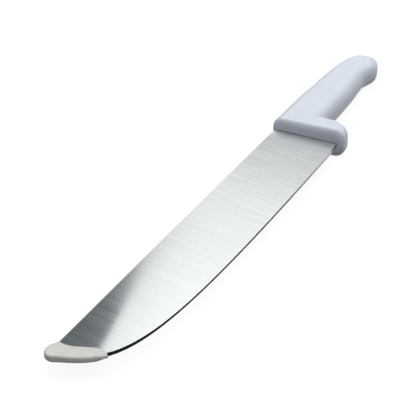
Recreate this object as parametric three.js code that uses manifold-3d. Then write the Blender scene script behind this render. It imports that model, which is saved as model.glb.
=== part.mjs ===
// Butcher knife lying on its side, in millimetres.
// A stamped and ground steel blade, a plastic handle moulded over its tang,
// and a soft plastic guard pushed over its point.
// The pieces are drawn with X from the handle's front face to the point, Y from the spine
// to the cutting edge and Z across the blade, whose middle plane is Z = 0.

import * as THREE from "three";
import { mergeVertices } from "three/addons/utils/BufferGeometryUtils.js";
import Module from "manifold-3d";

const wasm = await Module();
wasm.setup();

// Blade
const bladeLength = 261;
const heelWidth = 45.9;
const spineThickness = 2.5;
const heelEdgeThickness = 0.7;
const pointThinning = 0.25;
const spineChamfer = 0.25;
const straightEdge = 38;
const heelCurve = 20;
const heelLift = 1.1;
const heelSteps = 5;
const bellyPull = 204;
const noseSetback = 7;
const noseShoulder = 39.6;
const pointRound = 4;
const edgeSteps = 40;
const pointSteps = 5;
const bevelAngle = THREE.MathUtils.degToRad(17);
const edgeLand = 0.12;
const bevelRunIn = 12;
const smoothTurn = 0.3;

// Tang and the blade's shoulder, both inside the handle
const shoulderDepth = 6;
const shoulderInset = 3;
const heelGap = 0.4;
const tangLength = 102;
const tangWidth = 17;
const tangSetback = 4.5;
const tangLap = 2;
const lockHoleDiameter = 7;
const lockHoleCount = 3;
const lockHolePitch = 32;
const lockHoleEndMargin = 13;
const mouldClearance = 0.3;

// Handle, side view
const handleLength = 128.4;
const spineCover = 1.7;
const spineStraight = 46;
const spineFall = 2.2;
const buttLift = 1.5;
const buttDrop = 19.2;
const fingerGuardReach = 48.9;
const fingerGuardFrontReach = 48.7;
const fingerGuardLength = 12.2;
const fingerGuardRoot = 15.6;
const fingerGuardCorner = 6.6;
const rootCorner = 4;
const gripReach = 26.4;
const palmReach = 27.6;
const palmSetback = 65;
const palmCorner = 22;
const waistReach = 24.8;
const waistSetback = 98.5;
const waistCorner = 4.5;
const hookReach = 29.2;
const hookSetback = 112.5;
const hookCorner = 3.5;
const buttReach = 24;
const buttCorner = 4.6;

// Handle, cross-section
const handleThickness = 19.6;
const gripThickness = 18.6;
const pommelThickness = 18.1;
const thickFront = 43;
const frontRound = 2.8;
const frontRoundSteps = 6;
const frontBow = 2.2;
const buttRound = 11;
const spineSideRadius = 7;
const bellySideRadius = 8;
const fingerGuardSideRadius = 7;
const fingerGuardBlend = 14;
const stationCount = 88;
const cornerSteps = 6;

// Tip guard
const guardSpineDepth = 11.6;
const guardEdgeDepth = 12.7;
const guardMouthWave = 4.6;
const guardMouthSteps = 10;
const guardSpineSteps = 4;
const guardNoseSteps = 14;
const guardRim = 2.3;
const guardLip = 0.45;
const guardSide = 0.9;
const guardRound = 0.9;
const guardRoundSteps = 4;
const guardClearance = 0.3;

const bladeMaterial = new THREE.MeshStandardMaterial({ color: 0xd3d7d9, roughness: 0.32, metalness: 1 });
const handleMaterial = new THREE.MeshStandardMaterial({ color: 0xe3e6ef, roughness: 0.42, metalness: 0 });
const guardMaterial = new THREE.MeshStandardMaterial({ color: 0xdddccd, roughness: 0.5, metalness: 0 });

// Closed solid of a geometry, for cutting and joining.
function solid(geometry) {
  const bare = geometry.clone();
  bare.deleteAttribute("normal");
  bare.deleteAttribute("uv");
  const merged = mergeVertices(bare, 1e-4);
  const mesh = new wasm.Mesh({
    numProp: 3,
    vertProperties: new Float32Array(merged.attributes.position.array),
    triVerts: new Uint32Array(merged.index.array),
  });
  mesh.merge();
  return new wasm.Manifold(mesh);
}

// Named mesh of a solid.
function piece(name, body, material) {
  const data = body.getMesh();
  const geometry = new THREE.BufferGeometry();
  geometry.setAttribute("position", new THREE.Float32BufferAttribute(data.vertProperties, 3));
  geometry.setIndex(Array.from(data.triVerts));
  geometry.computeVertexNormals();
  const mesh = new THREE.Mesh(geometry, material);
  mesh.name = name;
  return mesh;
}

// Geometry of points and faces given as lists.
function facets(points, faces) {
  const geometry = new THREE.BufferGeometry();
  geometry.setAttribute("position", new THREE.Float32BufferAttribute(points.flat(), 3));
  geometry.setIndex(faces.flat());
  return geometry;
}

// Share of a curve's run at which it passes x, for a curve that always goes towards -X.
function shareAt(curve, x) {
  let low = 0;
  let high = 1;
  for (let step = 0; step < 40; step += 1) {
    const middle = (low + high) / 2;
    if (curve.getPoint(middle).x > x) {
      low = middle;
    } else {
      high = middle;
    }
  }
  return low;
}

// Half the blade's thickness at a place on its flat-ground side: a plane that thins
// from the spine to the edge and from the handle to the point.
const edgeThinning = (spineThickness - heelEdgeThickness) / heelWidth;
function halfThickness(x, y) {
  return (spineThickness - edgeThinning * y - (pointThinning * x) / bladeLength) / 2;
}

// Curved cutting edge from the point, over the nose and the belly, to the straight stretch.
const edgeCurve = new THREE.CubicBezierCurve(
  new THREE.Vector2(bladeLength, 0),
  new THREE.Vector2(bladeLength - noseSetback, noseShoulder),
  new THREE.Vector2(straightEdge + bellyPull, heelWidth),
  new THREE.Vector2(straightEdge, heelWidth),
);

// The point itself is rounded where the nose meets the spine. Both together, up to a share of the edge's run.
const pointShare = pointRound / (3 * noseShoulder);
const pointCurve = new THREE.QuadraticBezierCurve(
  new THREE.Vector2(bladeLength - pointRound, 0),
  new THREE.Vector2(bladeLength, 0),
  edgeCurve.getPoint(pointShare),
);
function edgeTo(share, steps) {
  const points = pointCurve.getPoints(pointSteps);
  for (let step = 1; step <= steps; step += 1) {
    points.push(edgeCurve.getPoint(THREE.MathUtils.lerp(pointShare, share, step / steps)));
  }
  return points;
}

// The edge lifts a little towards the handle.
const heelLine = new THREE.QuadraticBezierCurve(
  new THREE.Vector2(heelCurve, heelWidth),
  new THREE.Vector2((heelCurve + heelGap) / 2, heelWidth),
  new THREE.Vector2(heelGap, heelWidth - heelLift),
);

// Blade outline, anticlockwise from the shoulder's spine side.
// Each entry has its point and whether the side that leaves it is cutting edge.
function bladeOutline() {
  const plain = (x, y) => ({ at: new THREE.Vector2(x, y), edge: false });
  const sharp = (x, y) => ({ at: new THREE.Vector2(x, y), edge: true });
  return [
    plain(-shoulderDepth, shoulderInset),
    plain(heelGap, shoulderInset),
    plain(heelGap, 0),
    ...edgeTo(1, edgeSteps).map((at) => sharp(at.x, at.y)),
    ...heelLine.getPoints(heelSteps).slice(0, -1).map((at) => sharp(at.x, at.y)),
    plain(heelGap, heelWidth - heelLift),
    plain(heelGap, heelWidth - shoulderInset),
    plain(-shoulderDepth, heelWidth - shoulderInset),
  ];
}

// Inward normal of the side that leaves point i.
function inward(points, i) {
  const next = points[(i + 1) % points.length];
  const along = next.clone().sub(points[i]).normalize();
  return new THREE.Vector2(-along.y, along.x);
}

// Corner moved in from the two sides that meet there. A sharp corner keeps each side's own distance,
// and a point on a smooth curve moves straight in.
function insetCorner(corner, normalBefore, before, normalAfter, after) {
  const cross = normalBefore.cross(normalAfter);
  if (Math.abs(cross) < smoothTurn) {
    const between = normalBefore.clone().add(normalAfter).normalize();
    return corner.clone().addScaledVector(between, after);
  }
  const x = (before * normalAfter.y - after * normalBefore.y) / cross;
  const y = (normalBefore.x * after - normalAfter.x * before) / cross;
  return new THREE.Vector2(corner.x + x, corner.y + y);
}

// Width and depth of what is ground off one side of the rim at a point: a small chamfer,
// or the sharpened bevel, which runs in from nothing at the point of the blade.
function rimCut(at, edge) {
  const run = edge ? THREE.MathUtils.smoothstep(at.y, 0, bevelRunIn) : 0;
  const bevelDepth = halfThickness(at.x, at.y) - edgeLand / 2;
  return {
    width: THREE.MathUtils.lerp(spineChamfer, bevelDepth / Math.tan(bevelAngle), run),
    depth: THREE.MathUtils.lerp(spineChamfer, bevelDepth, run),
  };
}

// The blade forward of its tang, grown by a clearance on every side: two ground faces,
// the sharpened bevels along the cutting edge and small chamfers along the rest.
function bladePlate(grow) {
  const outline = bladeOutline();
  const count = outline.length;
  const drawn = outline.map((entry) => entry.at);
  const previous = (i) => (i + count - 1) % count;
  const rim = drawn.map((at, i) => {
    return insetCorner(at, inward(drawn, previous(i)), -grow, inward(drawn, i), -grow);
  });
  const face = rim.map((at, i) => {
    const before = rimCut(drawn[i], outline[previous(i)].edge).width;
    const after = rimCut(drawn[i], outline[i].edge).width;
    return insetCorner(at, inward(rim, previous(i)), before, inward(rim, i), after);
  });
  const faceHeight = face.map((at) => halfThickness(at.x, at.y) + grow);
  const rimHeight = drawn.map((at, i) => {
    const sharpened = outline[i].edge || outline[previous(i)].edge;
    return halfThickness(at.x, at.y) + grow - rimCut(at, sharpened).depth;
  });
  const loops = [
    face.map((at, i) => [at.x, at.y, -faceHeight[i]]),
    rim.map((at, i) => [at.x, at.y, -rimHeight[i]]),
    rim.map((at, i) => [at.x, at.y, rimHeight[i]]),
    face.map((at, i) => [at.x, at.y, faceHeight[i]]),
  ];
  const faces = [];
  for (let level = 0; level < loops.length - 1; level += 1) {
    for (let i = 0; i < count; i += 1) {
      const a = level * count + i;
      const b = level * count + ((i + 1) % count);
      faces.push([a, b, b + count], [a, b + count, a + count]);
    }
  }
  const top = (loops.length - 1) * count;
  THREE.ShapeUtils.triangulateShape(face, []).forEach(([a, b, c]) => {
    faces.push([a, c, b], [top + a, top + b, top + c]);
  });
  return solid(facets(loops.flat(), faces));
}

// Flat bar of the tang with a round end, and the lock holes through it.
function tangBar(grow) {
  const halfWidth = tangWidth / 2 + grow;
  const middle = tangSetback + tangWidth / 2;
  const front = tangLap - shoulderDepth;
  const roundCentre = tangWidth / 2 - tangLength;
  const shape = new THREE.Shape();
  shape.moveTo(front, middle - halfWidth);
  shape.lineTo(front, middle + halfWidth);
  shape.lineTo(roundCentre, middle + halfWidth);
  shape.absarc(roundCentre, middle, halfWidth, Math.PI / 2, (3 * Math.PI) / 2, false);
  const depth = spineThickness + 2 * grow;
  const bar = new THREE.ExtrudeGeometry(shape, { depth, bevelEnabled: false, curveSegments: 16 });
  bar.translate(0, 0, -depth / 2);
  let body = solid(bar);
  for (let i = 0; i < lockHoleCount; i += 1) {
    const radius = lockHoleDiameter / 2 - grow;
    const hole = new THREE.CylinderGeometry(radius, radius, 2 * depth, 24);
    hole.rotateX(Math.PI / 2);
    hole.translate(lockHoleEndMargin - tangLength + i * lockHolePitch, middle, 0);
    body = body.subtract(solid(hole));
  }
  return body;
}

// Whole blade with its tang, grown by a clearance.
function bladeSolid(grow) {
  return bladePlate(grow).add(tangBar(grow));
}

// Line through corners [x, y, cut], each corner rounded from a distance cut before it to the same after it.
function roundedLine(corners) {
  const path = new THREE.Path();
  path.moveTo(corners[0][0], corners[0][1]);
  for (let i = 1; i < corners.length - 1; i += 1) {
    const [x, y, cut] = corners[i];
    const corner = new THREE.Vector2(x, y);
    const before = new THREE.Vector2(...corners[i - 1]).sub(corner).setLength(cut);
    const after = new THREE.Vector2(...corners[i + 1]).sub(corner).setLength(cut);
    path.lineTo(corner.x + before.x, corner.y + before.y);
    path.quadraticCurveTo(corner.x, corner.y, corner.x + after.x, corner.y + after.y);
  }
  const last = corners[corners.length - 1];
  path.lineTo(last[0], last[1]);
  return path;
}

// Belly side of the handle from the front face round the finger guard, along the grip
// and over the hooked pommel to the butt.
const bellyLine = roundedLine([
  [0, fingerGuardFrontReach],
  [-fingerGuardLength, fingerGuardReach, fingerGuardCorner],
  [-fingerGuardRoot, gripReach, rootCorner],
  [-palmSetback, palmReach, palmCorner],
  [-waistSetback, waistReach, waistCorner],
  [-hookSetback, hookReach, hookCorner],
  [-handleLength, buttReach, buttCorner],
  [-handleLength, buttDrop],
]);

// Spine side of the handle: straight at the front, then one curve that turns down into the butt.
const spineCurve = new THREE.CubicBezierCurve(
  new THREE.Vector2(-spineStraight, -spineCover),
  new THREE.Vector2(-(spineStraight + handleLength) / 2, spineFall - spineCover),
  new THREE.Vector2(-handleLength, -spineCover - buttLift),
  new THREE.Vector2(-handleLength, buttDrop),
);
function spineHeight(x) {
  if (x > -spineStraight) {
    return -spineCover;
  }
  return spineCurve.getPoint(shareAt(spineCurve, x)).y;
}

// Half the handle's thickness: flat at the front, drawn in along the grip, domed at the butt.
function handleHalf(x) {
  const back = -x;
  const toGrip = THREE.MathUtils.smoothstep(back, thickFront, palmSetback);
  const toPommel = THREE.MathUtils.smoothstep(back, palmSetback, hookSetback);
  const drawnIn = THREE.MathUtils.lerp(handleThickness, gripThickness, toGrip);
  const full = THREE.MathUtils.lerp(drawnIn, pommelThickness, toPommel) / 2;
  const intoDome = Math.max(0, back - (handleLength - buttRound)) / buttRound;
  return full * Math.sqrt(Math.max(0, 1 - intoDome ** 2));
}

// Ring of points round the handle at one station: a rectangle with rounded corners,
// larger on the belly side behind the finger guard, drawn in by an inset all round,
// more across the thickness.
function handleRing(x, belly, inset) {
  const low = spineHeight(x) + inset;
  const high = belly - inset;
  const half = handleHalf(x) - frontBow * inset;
  const limit = (high - low) / 2;
  const spineRadius = Math.min(spineSideRadius, limit, half);
  const fingerGuardEnd = fingerGuardRoot + fingerGuardBlend / 2;
  const behindGuard = THREE.MathUtils.smoothstep(-x, fingerGuardEnd - fingerGuardBlend, fingerGuardEnd);
  const bellyFull = THREE.MathUtils.lerp(fingerGuardSideRadius, bellySideRadius, behindGuard);
  const bellyRadius = Math.min(bellyFull, limit, half);
  const corners = [
    [high - bellyRadius, half - bellyRadius, bellyRadius, 0],
    [low + spineRadius, half - spineRadius, spineRadius, 1],
    [low + spineRadius, spineRadius - half, spineRadius, 2],
    [high - bellyRadius, bellyRadius - half, bellyRadius, 3],
  ];
  return corners.flatMap(([y, z, radius, quarter]) => {
    const arc = [];
    for (let step = 0; step <= cornerSteps; step += 1) {
      const angle = ((quarter + step / cornerSteps) * Math.PI) / 2;
      arc.push([x, y + radius * Math.cos(angle), z + radius * Math.sin(angle)]);
    }
    return arc;
  });
}

// Handle body: rings from the front face to the butt, closed by a flat front and a point at the back.
function handleBody() {
  const rings = [];
  const frontBelly = bellyLine.getPoint(0).y;
  for (let step = 0; step < frontRoundSteps; step += 1) {
    const turn = ((1 - step / frontRoundSteps) * Math.PI) / 2;
    const x = -frontRound * (1 - Math.sin(turn));
    rings.push(handleRing(x, frontBelly, frontRound * (1 - Math.cos(turn))));
  }
  const stations = bellyLine.getSpacedPoints(stationCount);
  stations
    .filter((at) => at.x < -frontRound && at.x > -handleLength)
    .forEach((at) => rings.push(handleRing(at.x, at.y, 0)));
  const size = rings[0].length;
  const points = rings.flat();
  const faces = [];
  for (let ring = 0; ring < rings.length - 1; ring += 1) {
    for (let i = 0; i < size; i += 1) {
      const a = ring * size + i;
      const b = ring * size + ((i + 1) % size);
      faces.push([a, b + size, b], [a, a + size, b + size]);
    }
  }
  const front = points.push([0, (frontBelly - spineCover) / 2, 0]) - 1;
  const back = points.push([-handleLength, buttDrop, 0]) - 1;
  const last = (rings.length - 1) * size;
  for (let i = 0; i < size; i += 1) {
    const next = (i + 1) % size;
    faces.push([front, i, next], [back, last + next, last + i]);
  }
  return solid(facets(points, faces));
}

// Tip guard: a rounded cap that follows the blade round the nose, with its wall thickest at the point
// and thinning to a lip at both ends of its wavy mouth. It tapers like the blade, which goes into it.
function tipGuardBody() {
  const spineEnd = new THREE.Vector2(bladeLength - guardSpineDepth, 0);
  const nose = edgeTo(shareAt(edgeCurve, bladeLength - guardEdgeDepth), guardNoseSteps);
  const covered = [];
  for (let step = 0; step < guardSpineSteps; step += 1) {
    covered.push(spineEnd.clone().lerp(nose[0], step / guardSpineSteps));
  }
  covered.push(...nose);
  const last = covered.length - 1;
  const pointEnd = edgeCurve.getPoint(pointShare).y;
  const outer = covered.map((at, i) => {
    const before = covered[Math.max(0, i - 1)];
    const after = covered[Math.min(last, i + 1)];
    const along = after.clone().sub(before).normalize();
    const onSpine = i < guardSpineSteps + pointSteps;
    const downNose = Math.max(0, at.y - pointEnd) / (covered[last].y - pointEnd);
    const share = onSpine ? ((bladeLength - at.x) / guardSpineDepth) ** 2 : Math.sqrt(downNose);
    const wall = THREE.MathUtils.lerp(guardRim, guardLip, share);
    return new THREE.Vector2(at.x + wall * along.y, at.y - wall * along.x);
  });
  const edgeEnd = outer[last];
  const mouth = new THREE.CubicBezierCurve(
    edgeEnd,
    new THREE.Vector2(edgeEnd.x - guardMouthWave, (2 * edgeEnd.y) / 3),
    new THREE.Vector2(spineEnd.x + guardMouthWave, edgeEnd.y / 3),
    outer[0],
  );
  const shape = new THREE.Shape([...outer, ...mouth.getPoints(guardMouthSteps).slice(1, -1)]);
  const half = spineThickness / 2 + guardSide;
  const cap = new THREE.ExtrudeGeometry(shape, {
    depth: 2 * (half - guardRound),
    bevelThickness: guardRound,
    bevelSize: guardRound,
    bevelOffset: -guardRound,
    bevelSegments: guardRoundSteps,
  });
  cap.translate(0, 0, guardRound - half);
  const places = cap.attributes.position;
  for (let i = 0; i < places.count; i += 1) {
    const tapered = halfThickness(places.getX(i), places.getY(i)) + guardSide;
    places.setZ(i, (places.getZ(i) * tapered) / half);
  }
  return solid(cap).subtract(bladePlate(guardClearance));
}

const knife = new THREE.Group();
knife.add(piece("blade", bladeSolid(0), bladeMaterial));
knife.add(piece("handle", handleBody().subtract(bladeSolid(mouldClearance)), handleMaterial));
knife.add(piece("tip_guard", tipGuardBody(), guardMaterial));

// The knife lies with the middle of its box over the origin and its lower side on Z = 0.
const box = new THREE.Box3().setFromObject(knife);
const middle = box.getCenter(new THREE.Vector3());
knife.position.set(-middle.x, -middle.y, -box.min.z);

export default knife;
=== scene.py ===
import math

import bmesh
import bpy
import numpy as np
from mathutils import Matrix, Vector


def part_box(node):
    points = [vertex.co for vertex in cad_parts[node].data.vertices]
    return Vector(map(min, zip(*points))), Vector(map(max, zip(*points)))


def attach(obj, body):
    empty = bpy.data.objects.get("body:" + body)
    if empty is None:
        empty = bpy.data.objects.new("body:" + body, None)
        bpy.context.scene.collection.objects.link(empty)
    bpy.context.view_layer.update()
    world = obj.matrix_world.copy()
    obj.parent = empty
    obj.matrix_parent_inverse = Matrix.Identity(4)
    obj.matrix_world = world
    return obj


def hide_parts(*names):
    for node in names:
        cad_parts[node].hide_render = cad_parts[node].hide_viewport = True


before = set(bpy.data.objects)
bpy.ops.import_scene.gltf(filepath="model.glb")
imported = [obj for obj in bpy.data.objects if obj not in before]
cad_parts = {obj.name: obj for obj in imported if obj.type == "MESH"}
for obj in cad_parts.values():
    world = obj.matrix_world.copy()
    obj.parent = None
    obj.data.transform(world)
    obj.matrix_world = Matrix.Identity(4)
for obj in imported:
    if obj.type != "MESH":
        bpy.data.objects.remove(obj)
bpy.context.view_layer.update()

# ---------------------------------------------------------------- Blade
# Butcher's blade stamped from 2.5 mm stainless sheet, ground flat from the spine to a thin
# edge, with crosswise grinding marks and a bright sharpened bevel. The bevel's steel is painted darker,
# partly for its own honed tone and partly as a painted dark reflection. Just in front of the handle the
# steel is painted lighter as a painted highlight. Its tang is a flat bar that runs back inside the
# handle, which is moulded over it.
mm = 0.001
blade_low, blade_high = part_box("blade")
handle_low, handle_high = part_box("handle")
heel = np.array([handle_high.x, blade_low.y, (blade_low.z + blade_high.z) / 2])
blade_length = (blade_high.x - handle_high.x) / mm
blade_width = (blade_high.y - blade_low.y) / mm
spine_thickness = (blade_high.z - blade_low.z) / mm
edge_thickness = 0.7
lengthwise_thinning = 0.25
chamfer = 0.25
chamfer_most = 0.3
straight_edge = 38.0
heel_gap = 0.4
heel_curve = 20.0
heel_lift = 1.1
point_round = 4.0
nose_setback = 7.0
nose_pull = 39.6
belly_pull = 204.0
edge_land = 0.12
bevel_slope = math.tan(math.radians(17))
bevel_run_in = 12.0
bevel_most = 0.4
bevel_widening = 0.22
bevel_widens = (187, 247)
taper_start = 134.0
taper_slope = 0.197
taper_tilt = 0.028
tilt_easing = 0.12
tilt_eases = (195, 240)
taper_blend = 1.5
blend_softening = 1.6
blend_softens = (152, 222)
shoulder_depth = 6.0
shoulder_inset = 3.0
tang_length = 102.0
tang_width = 17.0
tang_setback = 4.5
side_points = 44
weld_gap = 2e-6
blade_crease = math.radians(9)


def smooth(value, low, high):
    """Share of the way from low to high, eased in and out: 3s^2 - 2s^3."""
    share = np.clip((value - low) / (high - low), 0, 1)
    return share * share * (3 - 2 * share)


def bent_line(poles, share):
    """Bezier curve from its first to its last pole, pulled by those between, at each share of its run."""
    degree = len(poles) - 1
    order = np.arange(degree + 1)
    weight = np.array([math.comb(degree, k) for k in order])
    share = np.asarray(share, float)[:, None]
    return (weight * share**order * (1 - share) ** (degree - order)) @ np.asarray(poles, float)


def half_sheet(x, y):
    """Half the sheet after its first grinding: a plane that thins from spine to edge and towards the point."""
    plane = spine_thickness - (spine_thickness - edge_thickness) * y / blade_width
    return (plane - lengthwise_thinning * x / blade_length) / 2


def half_thickness(x, y):
    """Half the finished blade: the first plane, less a second, shallow plane above a slanting line, which
    thins the spine towards the point. At the back it tilts a little less and meets the first more softly."""
    above = ((x - taper_start) * taper_slope - y) / math.hypot(1, taper_slope)
    blend = taper_blend * (1 + blend_softening * (1 - smooth(x, *blend_softens)))
    tilt = taper_tilt * (1 - tilt_easing * (1 - smooth(x, *tilt_eases)))
    return half_sheet(x, y) - tilt * blend * np.logaddexp(0, above / blend)


def along(path):
    """Direction of travel at each point of a path."""
    step = np.gradient(path, axis=0)
    return step / np.linalg.norm(step, axis=1, keepdims=True)


def travelled(path):
    """Distance gone along a path at each of its points."""
    return np.concatenate([[0], np.cumsum(np.linalg.norm(np.diff(path, axis=0), axis=1))])


def both_sides(*parts):
    """Rings whose first half has the given places and, last of the parts, height, and whose second half
    comes back along its mirror image below."""
    upper = np.dstack(parts)
    return np.concatenate([upper, (upper * [1, 1, -1])[:, ::-1]], axis=1)


def blade_rings(spine, edge, inward, width, depth, half):
    """Ring round the blade for each pair of points on spine and edge: over the spine's chamfer, along the
    ground side to the bevel's shoulder, down the bevel to the edge, and back along the other side."""
    reach = edge - spine
    span = np.maximum(np.linalg.norm(reach, axis=1), 1e-9)
    shoulder = edge + np.minimum(width, bevel_most * span)[:, None] * inward
    start = spine + reach * np.minimum(chamfer_most, chamfer / span)[:, None]
    share = np.linspace(0, 1, side_points)[None, :, None]
    side = start[:, None] + (shoulder - start)[:, None] * share
    flat = np.concatenate([spine[:, None], side, edge[:, None]], axis=1)
    height = half(flat[..., 0], flat[..., 1])
    height[:, 0] -= chamfer
    height[:, -1] -= depth
    return both_sides(flat, height)


def bar_rings(x, low, high, half):
    """Rings of the part of the blade inside the handle, from low to high at each x, chamfered all round."""
    inward = np.tile([0.0, -1.0], (len(x), 1))
    return blade_rings(np.stack([x, low], axis=1), np.stack([x, high], axis=1), inward, chamfer, chamfer, half)


def skin(name, rings, closed_ends, finish):
    """Surface over a grid of points: each ring is closed on itself, four-sided faces join it to the next,
    and one face closes each end that is named. finish gives the material of each strip round the ring."""
    count, size = rings.shape[:2]
    number = np.arange(count * size).reshape(count, size)
    beside = np.roll(number, -1, axis=1)
    faces = np.stack([number[:-1], beside[:-1], beside[1:], number[1:]], axis=-1).reshape(-1, 4).tolist()
    faces += [number[end].tolist() for end in closed_ends]
    mesh = bpy.data.meshes.new(name)
    mesh.from_pydata((heel + mm * rings.reshape(-1, 3)).tolist(), [], faces)
    slots = np.concatenate([np.tile(finish, count - 1), np.zeros(len(closed_ends), int)])
    mesh.polygons.foreach_set("material_index", slots.astype(np.int32))
    work = bmesh.new()
    work.from_mesh(mesh)
    bmesh.ops.remove_doubles(work, verts=work.verts, dist=weld_gap)
    bmesh.ops.dissolve_degenerate(work, edges=work.edges, dist=weld_gap)
    bmesh.ops.recalc_face_normals(work, faces=work.faces)
    work.to_mesh(mesh)
    work.free()
    mesh.polygons.foreach_set("use_smooth", np.ones(len(mesh.polygons), bool))
    made = bpy.data.objects.new(name, mesh)
    bpy.context.scene.collection.objects.link(made)
    return made


edge_poles = [
    (blade_length, 0),
    (blade_length - nose_setback, nose_pull),
    (straight_edge + belly_pull, blade_width),
    (straight_edge, blade_width),
]
point_share = point_round / (3 * nose_pull)
nose_top = bent_line(edge_poles, [point_share])[0]
point_poles = [(blade_length - point_round, 0), (blade_length, 0), nose_top]
heel_poles = [
    (heel_gap, blade_width - heel_lift),
    ((heel_gap + heel_curve) / 2, blade_width),
    (heel_curve, blade_width),
]
cutting_edge = np.concatenate([
    bent_line(heel_poles, np.linspace(0, 1, 12)),
    np.linspace([heel_curve, blade_width], [straight_edge, blade_width], 8)[1:],
    bent_line(edge_poles, np.linspace(1, point_share, 130)[1:]),
    bent_line(point_poles, np.linspace(1, 0, 9)[1:]),
])
gone = travelled(cutting_edge)
spine_x = np.interp(
    gone, [0, straight_edge - heel_gap, gone[-1]], [heel_gap, straight_edge, blade_length - point_round]
)
spine_line = np.stack([spine_x, np.zeros_like(spine_x)], axis=1)
edge_along = along(cutting_edge)
edge_inward = np.stack([edge_along[:, 1], -edge_along[:, 0]], axis=1)
bevel_depth = half_thickness(cutting_edge[:, 0], cutting_edge[:, 1]) - edge_land / 2
bevel_run = smooth(cutting_edge[:, 1], 0, bevel_run_in)
widened = 1 + bevel_widening * smooth(cutting_edge[:, 0], *bevel_widens)
bevel_width = chamfer + (bevel_depth / bevel_slope * widened - chamfer) * bevel_run
bevel_drop = chamfer + (bevel_depth - chamfer) * bevel_run
open_blade = blade_rings(spine_line, cutting_edge, edge_inward, bevel_width, bevel_drop, half_thickness)

tang_end = tang_width / 2
tang_turn = np.linspace(0, math.pi / 2, 9)
tang_x = np.append(tang_end * (1 - np.cos(tang_turn)) - tang_length, -shoulder_depth)
tang_half_width = np.append(tang_end * np.sin(tang_turn), tang_end)
tang_middle = tang_setback + tang_end
tang = bar_rings(
    tang_x, tang_middle - tang_half_width, tang_middle + tang_half_width,
    lambda x, y: np.full_like(x, spine_thickness / 2),
)
shoulder = bar_rings(
    np.array([-shoulder_depth, heel_gap]),
    np.full(2, shoulder_inset), np.full(2, blade_width - shoulder_inset), half_thickness,
)
strips = np.zeros(open_blade.shape[1], int)
strips[side_points:side_points + 3] = 1
blade = skin("ground_blade", np.concatenate([tang, shoulder, open_blade]), [], strips)
blade.data.set_sharp_from_angle(angle=blade_crease)

across = blade.data.uv_layers.new(name="across")
vertex_place = np.zeros(len(blade.data.vertices) * 3, np.float32)
corner_vertex = np.zeros(len(blade.data.loops), np.int32)
blade.data.vertices.foreach_get("co", vertex_place)
blade.data.loops.foreach_get("vertex_index", corner_vertex)
across.data.foreach_set("uv", vertex_place.reshape(-1, 3)[corner_vertex, :2].ravel())


def node_tools(tree):
    """Functions that add a node with the given settings to a tree, and join two of its sockets."""

    def add(kind, **settings):
        node = tree.nodes.new(kind)
        for key, value in settings.items():
            setattr(node, key, value)
        return node

    return add, tree.links.new


def finish_nodes(name):
    """A new material with its shader, and functions that add a node and join two sockets."""
    material = bpy.data.materials.new(name)
    material.use_nodes = True
    add, join = node_tools(material.node_tree)
    return material, material.node_tree.nodes["Principled BSDF"], add, join


def marks(add, join, size, turn=0.0, detail=2.0):
    """Cloudy pattern on the piece's own coordinates, whose grains have the given size in metres along each
    axis, turned about the vertical by the given angle."""
    place = add("ShaderNodeTexCoord")
    grain = add("ShaderNodeMapping", vector_type="TEXTURE")
    grain.inputs["Scale"].default_value = size
    grain.inputs["Rotation"].default_value = (0, 0, turn)
    cloud = add("ShaderNodeTexNoise")
    cloud.inputs["Scale"].default_value = 1.0
    cloud.inputs["Detail"].default_value = detail
    join(place.outputs["Object"], grain.inputs["Vector"])
    join(grain.outputs["Vector"], cloud.inputs["Vector"])
    return cloud.outputs["Fac"]


def spread(add, join, source, low, high, start=0.3, end=0.7, easing="LINEAR"):
    """Value stretched so that start becomes low and end becomes high, and held beyond them."""
    span = add("ShaderNodeMapRange", clamp=True, interpolation_type=easing)
    span.inputs["From Min"].default_value = start
    span.inputs["From Max"].default_value = end
    span.inputs["To Min"].default_value = low
    span.inputs["To Max"].default_value = high
    join(source, span.inputs["Value"])
    return span.outputs["Result"]


def tinted(add, join, source, first, second):
    """Colour between first and second, each a fixed colour or a pattern's own, by a pattern's value."""
    mix = add("ShaderNodeMix", data_type="RGBA")
    for place, colour in (("A", first), ("B", second)):
        if isinstance(colour, tuple):
            mix.inputs[place].default_value = (*colour, 1)
        else:
            join(colour, mix.inputs[place])
    join(source, mix.inputs["Factor"])
    return mix.outputs["Result"]


def raised(add, join, source, shader, depth):
    """Relief of a pattern, depth metres high, on the shader's normal."""
    relief = add("ShaderNodeBump")
    relief.inputs["Distance"].default_value = depth
    relief.inputs["Strength"].default_value = 1.0
    join(source, relief.inputs["Height"])
    join(relief.outputs["Normal"], shader.inputs["Normal"])


def summed(add, join, first, second, share):
    """Two patterns mixed, share of the second."""
    mix = add("ShaderNodeMix", data_type="FLOAT")
    mix.inputs["Factor"].default_value = share
    join(first, mix.inputs["A"])
    join(second, mix.inputs["B"])
    return mix.outputs["Result"]


grind_turn = math.radians(-9)
stroke_size = (0.0007, 0.05, 0.05)
streak_size = (0.0022, 0.016, 0.016)
streak_share = 0.35
heel_roughness, open_roughness = 0.42, 0.205
stroke_roughness = (0.175, 0.24)
stroke_contrast = (0.34, 0.66)
line_contrast = (0.36, 0.64)
dull_by = 0.09
clear_by = 0.085
bright_by = 0.008
dull_steel = ((0.435, 0.45, 0.457), (0.545, 0.557, 0.565))
clear_steel = ((0.598, 0.618, 0.624), (0.669, 0.687, 0.693))
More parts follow.
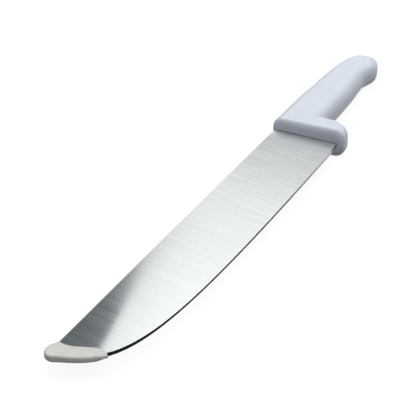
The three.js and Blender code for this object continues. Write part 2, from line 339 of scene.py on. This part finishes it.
# Painted highlight: lighter steel painted over the first bright_by of blade in front of the handle, standing
# in for the handle's pale reflection there.
painted_highlight_steel = (0.74, 0.75, 0.755)
ground_steel, shader, add, join = finish_nodes("ground_steel")
shader.inputs["Metallic"].default_value = 1.0
shader.inputs["Anisotropic"].default_value = 1.0
strokes = marks(add, join, stroke_size, grind_turn, 0.0)
streaks = marks(add, join, streak_size, grind_turn, 1.0)
lines = summed(add, join, strokes, streaks, streak_share)
place = add("ShaderNodeTexCoord")
apart = add("ShaderNodeSeparateXYZ")
join(place.outputs["Object"], apart.inputs[0])
from_heel = apart.outputs["X"]
by_the_handle = spread(add, join, from_heel, heel_roughness, open_roughness, heel[0], heel[0] + dull_by)
by_the_stroke = spread(add, join, strokes, *stroke_roughness)
join(summed(add, join, by_the_handle, by_the_stroke, 0.5), shader.inputs["Roughness"])
dull = tinted(add, join, spread(add, join, lines, 0, 1, *line_contrast), *dull_steel)
clear = tinted(add, join, spread(add, join, strokes, 0, 1, *stroke_contrast), *clear_steel)
away = tinted(add, join, spread(add, join, from_heel, 0, 1, heel[0], heel[0] + clear_by), dull, clear)
# Mask of the painted highlight next to the handle's front face.
painted_highlight_at_heel = spread(add, join, from_heel, 0, 1, heel[0], heel[0] + bright_by)
join(tinted(add, join, painted_highlight_at_heel, painted_highlight_steel, away), shader.inputs["Base Color"])
direction = add("ShaderNodeTangent", direction_type="UV_MAP", uv_map="across")
join(direction.outputs["Tangent"], shader.inputs["Tangent"])

honing_size = (0.0006, 0.004, 0.004)
honing_depth = 0.0000005
honing_roughness = (0.17, 0.11)
# The bevel's steel colours are painted darker: partly the honed edge's own tone, partly a painted dark
# reflection along the edge.
honed_and_painted_dark_colours = ((0.30, 0.303, 0.308), (0.38, 0.384, 0.388))
honed_steel_painted_dark, shader, add, join = finish_nodes("honed_steel_painted_dark")
shader.inputs["Metallic"].default_value = 1.0
honing = marks(add, join, honing_size, grind_turn)
join(tinted(add, join, spread(add, join, honing, 0, 1), *honed_and_painted_dark_colours), shader.inputs["Base Color"])
join(spread(add, join, honing, *honing_roughness), shader.inputs["Roughness"])
raised(add, join, honing, shader, honing_depth)

blade.data.materials.append(ground_steel)
blade.data.materials.append(honed_steel_painted_dark)
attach(blade, "knife")
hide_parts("blade")

# ---------------------------------------------------------------- Handle
# One injection moulding of white plastic with a satin skin, shot round the tang: a flat-sided
# grip with rounded edges, a deep finger guard at the front and a hooked pommel at the back.
# Nothing else holds it; the plastic fills the tang's holes.
handle_length = (handle_high.x - handle_low.x) / mm
handle_half = (handle_high.z - handle_low.z) / mm / 2
grip_half = 9.3
pommel_half = 9.05
thick_front = 43.0
palm_back = 65.0
hook_back = 112.5
butt_round = 11.0
butt_drop = 19.2
front_drop = 48.7
front_round = 2.8
front_bow = 2.2
spine_straight = 46.0
spine_cover = 1.7
spine_bow = 0.5
butt_pull = 3.2
spine_edge_round = 7.0
belly_edge_round = 8.0
guard_edge_round = 7.0
guard_blend = (10, 24)
slot_play = 0.25
mouth_play = 0.6
handle_crease = math.radians(38)
belly_corners = np.array([
    [0, front_drop], [12.2, 48.87], [15.6, 26.4], [palm_back, 27.6],
    [98.5, 24.8], [hook_back, 29.2], [handle_length, 24], [handle_length, butt_drop],
])
belly_cuts = np.array([6.6, 4, 22, 4.5, 3.5, 4.6])
spine_poles = [
    (spine_straight, -spine_cover),
    ((spine_straight + handle_length) / 2, spine_bow),
    (handle_length, -butt_pull),
    (handle_length, butt_drop),
]
spine_fall = bent_line(spine_poles, np.linspace(0, 1, 400))


def rounded_line(corners, cuts):
    """Line through corners, each rounded by a curve from a distance cut before it to the same after it:
    (1-s)^2 before + 2s(1-s) corner + s^2 after."""
    middle = corners[1:-1]
    to_last = corners[:-2] - middle
    to_next = corners[2:] - middle
    before = middle + to_last / np.linalg.norm(to_last, axis=1, keepdims=True) * cuts[:, None]
    after = middle + to_next / np.linalg.norm(to_next, axis=1, keepdims=True) * cuts[:, None]
    share = np.linspace(0, 1, 33)[None, :, None]
    curves = (1 - share) ** 2 * before[:, None] + share**2 * after[:, None]
    curves = curves + 2 * share * (1 - share) * middle[:, None]
    return np.concatenate([corners[:1], curves.reshape(-1, 2), corners[-1:]])


def spine_side(back):
    """Spine side's line: straight behind the front face, then one curve down into the butt."""
    return np.interp(back, spine_fall[:, 0], spine_fall[:, 1])


def half_depth(back):
    """Half the handle's thickness: flat at the front, drawn in along the grip, domed at the butt."""
    drawn = handle_half + (grip_half - handle_half) * smooth(back, thick_front, palm_back)
    drawn = drawn + (pommel_half - drawn) * smooth(back, palm_back, hook_back)
    dome = np.clip((back - (handle_length - butt_round)) / butt_round, 0, 1)
    return drawn * np.sqrt(np.maximum(0, 1 - dome**2))


def rounded_rise(from_side, half, drop, run):
    """Height of a flat side of the given half thickness whose border falls by drop over run, along a
    quarter ellipse."""
    left = 1 - np.clip(from_side / np.maximum(run, 1e-6), 0, 1)
    return half - drop + drop * np.sqrt(1 - left**2)


def bunched(count):
    """Shares from 0 to 1 that stand closer together at both ends, as a half turn seen from its side."""
    return (1 - np.cos(np.linspace(0, math.pi, count))) / 2


ring_share = bunched(61)


def handle_rings(back, low, high, half):
    """Ring round the handle at each distance back from the front face, from the spine side to the belly
    side and back: a flat side with rounded borders, tighter along the finger guard than along the grip."""
    back, low, high, half = (np.asarray(value, float)[:, None] for value in (back, low, high, half))
    y = low + (high - low) * ring_share
    room = np.minimum((high - low) / 2, half)
    spine_round = np.minimum(spine_edge_round, room)
    belly_round = guard_edge_round + (belly_edge_round - guard_edge_round) * smooth(back, *guard_blend)
    belly_round = np.minimum(belly_round, room)
    by_spine = rounded_rise(y - low, half, spine_round, spine_round)
    by_belly = rounded_rise(high - y, half, belly_round, belly_round)
    height = np.maximum(np.minimum(by_spine, by_belly), 0)
    return both_sides(np.broadcast_to(-back, y.shape), y, height)


belly = rounded_line(belly_corners, belly_cuts)
belly_gone = travelled(belly)
evenly = np.interp(np.linspace(0, belly_gone[-1], 190), belly_gone, belly[:, 0])
into_dome = handle_length - butt_round + butt_round * np.sin(np.linspace(0, math.pi / 2, 30))
between = (evenly > front_round + 0.2) & (evenly < into_dome[0] - 0.2)
back = np.concatenate([[front_round], evenly[between], into_dome])
low = spine_side(back)
high = np.maximum(np.interp(back, belly[:-1, 0], belly[:-1, 1]), low + 1e-4)
outside = handle_rings(back, low, high, half_depth(back))

turn = np.linspace(0, math.pi / 2, 9)[:-1]
front_back = front_round * (1 - np.cos(turn))
inset = front_round * (1 - np.sin(turn))
front_edge = handle_rings(
    front_back, spine_side(front_back) + inset, front_drop - inset, handle_half - front_bow * inset
)

slot_back = np.array([0.0, shoulder_depth + slot_play, shoulder_depth + slot_play, tang_length + slot_play])
slot_low = np.array([shoulder_inset, shoulder_inset, tang_setback, tang_setback]) - slot_play
slot_high = np.array([blade_width - shoulder_inset] * 2 + [tang_setback + tang_width] * 2) + slot_play
slot_y = slot_low[:, None] + (slot_high - slot_low)[:, None] * ring_share
slot_half = np.full_like(slot_y, spine_thickness / 2)
slot_half[:2] = half_thickness(-slot_back[:2, None], slot_y[:2])
slot_half = slot_half + np.array([mouth_play, slot_play, slot_play, slot_play])[:, None]
slot = both_sides(np.broadcast_to(-slot_back[:, None], slot_y.shape), slot_y, slot_half)
inwards = np.array([0.35, 0.7])[:, None, None]
front_face = front_edge[0] + (slot[0] - front_edge[0]) * inwards
handle_skin = np.concatenate([slot[::-1], front_face[::-1], front_edge, outside])
handle = skin("moulded_handle", handle_skin, [0], np.zeros(handle_skin.shape[1], int))
handle.data.set_sharp_from_angle(angle=handle_crease)


plastic_ior = 1.49
grain_depth = 0.000012


def moulded_plastic(name, cloud_size, grain_size, colours, roughness):
    """Moulded plastic: clouds in its colour, and a fine raised grain in its skin."""
    material, shader, add, join = finish_nodes(name)
    shader.inputs["IOR"].default_value = plastic_ior
    clouds = marks(add, join, (cloud_size,) * 3)
    grain = marks(add, join, (grain_size,) * 3, detail=3.0)
    join(tinted(add, join, spread(add, join, clouds, 0, 1), *colours), shader.inputs["Base Color"])
    join(spread(add, join, summed(add, join, clouds, grain, 0.5), *roughness), shader.inputs["Roughness"])
    raised(add, join, grain, shader, grain_depth)
    return material


satin_cloud = 0.018
satin_grain = 0.0005
satin_whites = ((0.65, 0.672, 0.692), (0.673, 0.691, 0.707))
satin_roughness = (0.38, 0.47)
satin_plastic = moulded_plastic("satin_plastic", satin_cloud, satin_grain, satin_whites, satin_roughness)
handle.data.materials.append(satin_plastic)
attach(handle, "knife")
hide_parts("handle")

# ---------------------------------------------------------------- Tip guard
# Small cap of soft cream-coloured plastic, moulded in one piece with a pocket for the point.
# It is pushed on from the front and stays by its grip on the steel; it pulls off by hand.
guard_spine_depth = 11.6
guard_edge_depth = 12.7
guard_wave = 4.6
edge_wave = 7.6
edge_wave_place = 0.76
guard_wall = 2.25
guard_lip = 0.45
guard_side = 1.15
guard_mouth_side = 0.4
guard_round = 1.5
mouth_round = 0.3
guard_swells = (-0.5, 6)
guard_end = 7
guard_grip = 0.08
guard_crease = math.radians(40)
spine_count = 17
point_count = 24

edge_shares = np.linspace(0, 1, 2001)
edge_run = bent_line(edge_poles, edge_shares)
guard_share = np.interp(guard_edge_depth, blade_length - edge_run[:, 0], edge_shares)
nose = bent_line(edge_poles, point_share + (guard_share - point_share) * np.linspace(0, 1, 70)[1:] ** 0.9)
guard_start = [blade_length - guard_spine_depth, 0]
covered = np.concatenate([
    np.linspace(guard_start, [blade_length - point_round, 0], spine_count + 1)[:-1],
    bent_line(point_poles, np.linspace(0, 1, point_count)),
    nose,
])
guard_along = along(covered)
outward = np.stack([guard_along[:, 1], -guard_along[:, 0]], axis=1)
on_spine = np.arange(len(covered)) < spine_count + point_count
thinning = np.where(
    on_spine,
    ((blade_length - covered[:, 0]) / guard_spine_depth) ** 2,
    np.sqrt(np.maximum(0, covered[:, 1] - nose_top[1]) / (covered[-1, 1] - nose_top[1])),
)
wall = guard_wall + (guard_lip - guard_wall) * thinning
rim = covered + wall[:, None] * outward
mouth_poles = [
    covered[0],
    (guard_start[0] + guard_wave, covered[-1, 1] / 3),
    (covered[-1, 0] - edge_wave, covered[-1, 1] * edge_wave_place),
    covered[-1],
]
round_the_rim = travelled(rim) / travelled(rim)[-1]
mouth = bent_line(mouth_poles, round_the_rim)


def guard_rings(mouth, rim, pocket, ends):
    """Ring of the cap from its mouth over the side, round the rim and back below, then into the pocket and
    out: each side swells from a thin mouth to its full thickness and is rounded at the rim, and ends gives
    how far it swells, less at both ends of the mouth."""
    share = bunched(33)
    span = np.linalg.norm(rim - mouth, axis=1)[:, None]
    side = mouth[:, None] + (rim - mouth)[:, None] * share[None, :, None]
    steel = half_thickness(side[..., 0], side[..., 1])
    full = half_sheet(side[..., 0], side[..., 1]) + guard_side
    swell = ends[:, None] * smooth(span * share, *guard_swells)
    full = steel + guard_mouth_side + (full - steel - guard_mouth_side) * swell
    rim_drop = np.minimum(guard_round, full)
    by_rim = rounded_rise(span * (1 - share), full, rim_drop, np.minimum(guard_round, span / 2))
    by_mouth = rounded_rise(span * share, full, mouth_round, np.minimum(mouth_round, span / 2))
    within = mouth[:, None] + (pocket - mouth)[:, None] * np.linspace(0, 1, 6)[None, :, None]
    hollow = half_thickness(within[..., 0], within[..., 1]) + guard_grip
    outer = both_sides(side, np.minimum(by_rim, by_mouth))
    return np.concatenate([outer, both_sides(within, -hollow)], axis=1)


from_ends = np.minimum(travelled(covered), travelled(covered[::-1])[::-1])
cap_rings = guard_rings(mouth, rim, covered + guard_grip * outward, smooth(from_ends, 0, guard_end))
tip_guard = skin("point_guard", cap_rings, [0, -1], np.zeros(cap_rings.shape[1], int))
tip_guard.data.set_sharp_from_angle(angle=guard_crease)

cream_cloud = 0.006
cream_grain = 0.0004
creams = ((0.615, 0.605, 0.51), (0.70, 0.69, 0.585))
cream_roughness = (0.46, 0.56)
cream_plastic = moulded_plastic("cream_plastic", cream_cloud, cream_grain, creams, cream_roughness)
tip_guard.data.materials.append(cream_plastic)
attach(tip_guard, "tip_guard")
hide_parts("tip_guard")

# ---------------------------------------------------------------- Table
# White sweep that the knife lies on, level and plain. It shows white and takes a faint shadow,
# and throws only a little light back up under the knife.
sweep_half = 6
sweep_glow = 0.9
paper_colour = (0.13, 0.13, 0.132, 1)
bounce_colour = (0.018, 0.018, 0.02, 1)
table_mesh = bpy.data.meshes.new("table_top")
table_corners = np.array([(-1, -1, 0), (1, -1, 0), (1, 1, 0), (-1, 1, 0)]) * sweep_half
table_mesh.from_pydata(table_corners.tolist(), [], [(0, 1, 2, 3)])
table = bpy.data.objects.new("table_top", table_mesh)
bpy.context.scene.collection.objects.link(table)
white_sweep, shader, add, join = finish_nodes("white_sweep")
white_sweep.node_tree.nodes.remove(shader)
glow = add("ShaderNodeEmission")
glow.inputs["Strength"].default_value = sweep_glow
paper = add("ShaderNodeBsdfDiffuse")
paper.inputs["Color"].default_value = paper_colour
bounce = add("ShaderNodeBsdfDiffuse")
bounce.inputs["Color"].default_value = bounce_colour
lit = add("ShaderNodeAddShader")
join(glow.outputs[0], lit.inputs[0])
join(paper.outputs[0], lit.inputs[1])
seen = add("ShaderNodeLightPath")
looked_at = add("ShaderNodeMath", operation="MAXIMUM")
join(seen.outputs["Is Camera Ray"], looked_at.inputs[0])
join(seen.outputs["Is Glossy Ray"], looked_at.inputs[1])
choose = add("ShaderNodeMixShader")
join(looked_at.outputs[0], choose.inputs[0])
join(bounce.outputs[0], choose.inputs[1])
join(lit.outputs[0], choose.inputs[2])
join(choose.outputs[0], white_sweep.node_tree.nodes["Material Output"].inputs["Surface"])
table_mesh.materials.append(white_sweep)

# ---------------------------------------------------------------- Studio light
# One large soft light above and behind the knife, a dim even room round it, and what the steel mirrors:
# a pale wall that brightens upwards, dimmer and more even beyond the point, with two dark gaps in it.
left_gap = 0.865
high_gap = 0.985
gap_colour = (0.84, 1.0, 1.06)
room_colour = (0.9, 0.96, 1.13, 1)
soft_light = bpy.data.lights.new("overhead_light", "AREA")
soft_light.shape = "RECTANGLE"
soft_light.size = 1.2
soft_light.size_y = 1.5
soft_light.energy = 10.2
overhead = bpy.data.objects.new("overhead_light", soft_light)
bpy.context.scene.collection.objects.link(overhead)
overhead.location = (-0.42, -0.3, 1.0)
overhead.visible_glossy = False

room = bpy.data.worlds.new("studio")
bpy.context.scene.world = room
room.use_nodes = True
room.node_tree.nodes.clear()
add, join = node_tools(room.node_tree)


def ramp(source, start, end, low, high):
    """Eased step of a direction's part from low at start to high at end."""
    return spread(add, join, source, low, high, start, end, "SMOOTHSTEP")


def combined(operation, first, second):
    """Two values, each fixed or from a socket, joined by one sum."""
    node = add("ShaderNodeMath", operation=operation)
    for place, value in zip(node.inputs, (first, second)):
        if isinstance(value, float):
            place.default_value = value
        else:
            join(value, place)
    return node.outputs[0]


def product(*values):
    """All the values multiplied."""
    total = values[0]
    for value in values[1:]:
        total = combined("MULTIPLY", total, value)
    return total


towards = add("ShaderNodeTexCoord")
parts = add("ShaderNodeSeparateXYZ")
join(towards.outputs["Generated"], parts.inputs[0])
lengthwise, sideways, upwards = parts.outputs
pale = product(
    ramp(upwards, 0.29, 0.92, 0.2, 2.88),
    ramp(sideways, -0.46, -0.38, 0.88, 1.13),
    ramp(upwards, 0.72, 0.88, 1.0, 0.3),
    ramp(lengthwise, -0.05, 0.4, 1.0, 0.58),
)
pale = combined("MAXIMUM", pale, ramp(lengthwise, -0.05, 0.4, 0.0, 0.5))
left_dark = product(
    ramp(sideways, -0.452, -0.468, 0.0, 1.0),
    ramp(lengthwise, 0.1, -0.1, 0.0, 1.0),
)
high_dark = product(
    ramp(sideways, -0.28, -0.24, 0.0, 1.0),
    ramp(upwards, 0.56, 0.64, 0.0, 1.0),
    ramp(lengthwise, 0.0, -0.1, 0.0, 1.0),
    ramp(sideways, 0.3, 0.2, 0.0, 1.0),
)
dark = combined("MAXIMUM", product(left_dark, left_gap), product(high_dark, high_gap))
mirrored = product(pale, combined("SUBTRACT", 1.0, dark))
seen = add("ShaderNodeLightPath")
by_camera = seen.outputs["Is Camera Ray"]
reflected = combined("MAXIMUM", seen.outputs["Is Glossy Ray"], seen.outputs["Is Transmission Ray"])
reflected = product(reflected, combined("LESS_THAN", seen.outputs["Diffuse Depth"], 0.5))
backdrop = combined("ADD", mirrored, product(by_camera, combined("SUBTRACT", 1.0, mirrored)))
pale_wall = add("ShaderNodeBackground")
join(tinted(add, join, product(reflected, dark), (1, 1, 1), gap_colour), pale_wall.inputs["Color"])
join(backdrop, pale_wall.inputs["Strength"])
dim_room = add("ShaderNodeBackground")
dim_room.inputs["Color"].default_value = room_colour
dim = product(ramp(upwards, 0.05, 0.8, 0.085, 0.455), ramp(sideways, -0.5, 0.9, 0.8, 2.7))
join(dim, dim_room.inputs["Strength"])
either = add("ShaderNodeMixShader")
join(combined("MAXIMUM", reflected, by_camera), either.inputs[0])
join(dim_room.outputs[0], either.inputs[1])
join(pale_wall.outputs[0], either.inputs[2])
world_out = add("ShaderNodeOutputWorld")
join(either.outputs[0], world_out.inputs["Surface"])

# ---------------------------------------------------------------- Camera
# Long lens above the point of the knife, to the right of its edge, turned a little. It is set out from
# a place on the spine just in front of the handle.
set_out = 2.0
view_distance = 735.74
view_rise = 0.5462618
view_turn = 0.5035268
view_roll = -0.031275
focal = 1120.0
picture_side = 420
aimed = (272.885, 132.526)
sensor = 36.0
eye = bpy.data.cameras.new("camera")
eye.lens = focal / picture_side * sensor
eye.sensor_width = sensor
eye.clip_start = 0.01
eye.clip_end = 50.0
camera = bpy.data.objects.new("camera", eye)
bpy.context.scene.collection.objects.link(camera)
backwards = np.array([
    math.cos(view_rise) * math.cos(view_turn), math.cos(view_rise) * math.sin(view_turn), math.sin(view_rise)
])
level = np.array([-math.sin(view_turn), math.cos(view_turn), 0.0])
upright = np.cross(backwards, level)
right = math.cos(view_roll) * level + math.sin(view_roll) * upright
up = math.cos(view_roll) * upright - math.sin(view_roll) * level
off_middle = (np.array(aimed) - picture_side / 2) / focal
stand = view_distance * (backwards - off_middle[0] * right + off_middle[1] * up)
camera_place = np.eye(4)
camera_place[:3, :3] = np.stack([right, up, backwards], axis=1)
camera_place[:3, 3] = heel + mm * (stand + [set_out, 0, 0])
camera.matrix_world = Matrix(camera_place.tolist())
bpy.context.scene.camera = camera
bpy.context.scene.view_settings.view_transform = "Standard"
